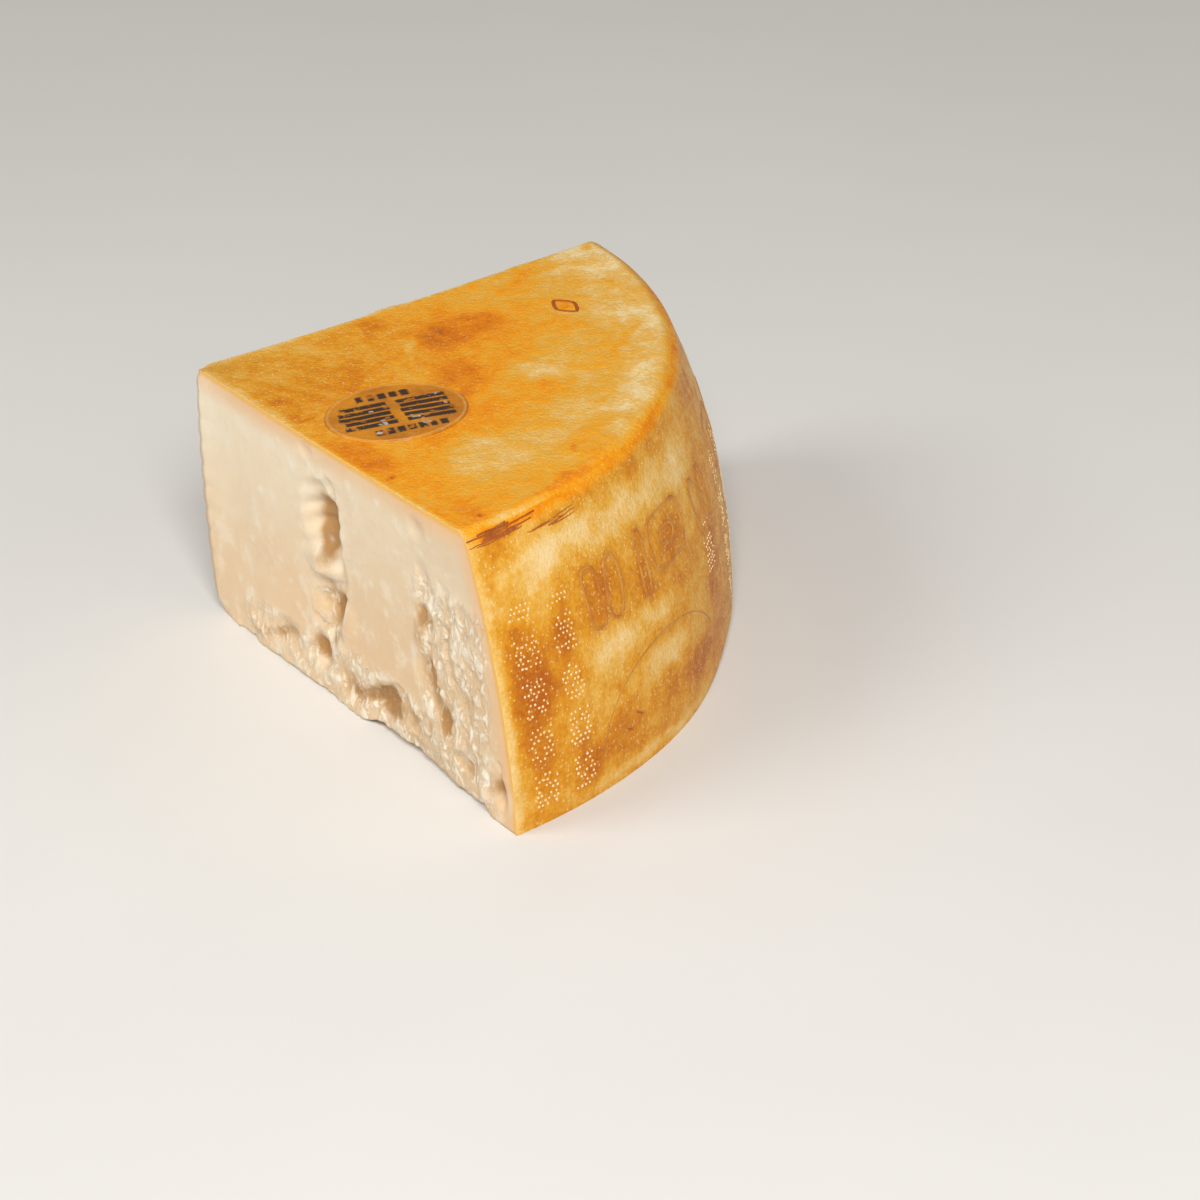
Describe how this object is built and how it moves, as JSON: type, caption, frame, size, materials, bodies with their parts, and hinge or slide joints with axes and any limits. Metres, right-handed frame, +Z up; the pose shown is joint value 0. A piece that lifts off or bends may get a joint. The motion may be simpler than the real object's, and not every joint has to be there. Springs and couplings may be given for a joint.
{
  "type": "parmesan wedge",
  "caption": "Wedge of hard grating cheese: a quarter of half a wheel, with crumbly cut faces, a barrel-shaped waxy rind and a thin oval casein plate on top.",
  "frame": {"origin": "under the middle of the wedge's box, on the surface that it stands on", "axes": "+Z up, +X towards the rind along the wedge's middle, +Y along its width"},
  "size_m": [0.217, 0.2964, 0.119],
  "materials": {
    "cheese": "cream paste, slightly moist, with an orange-gold satin rind",
    "casein": "satin, golden, with worn dark marks"
  },
  "bodies": {
    "root": {"cheese_wedge": "cheese", "casein_label": "casein"}
  },
  "joints": []
}
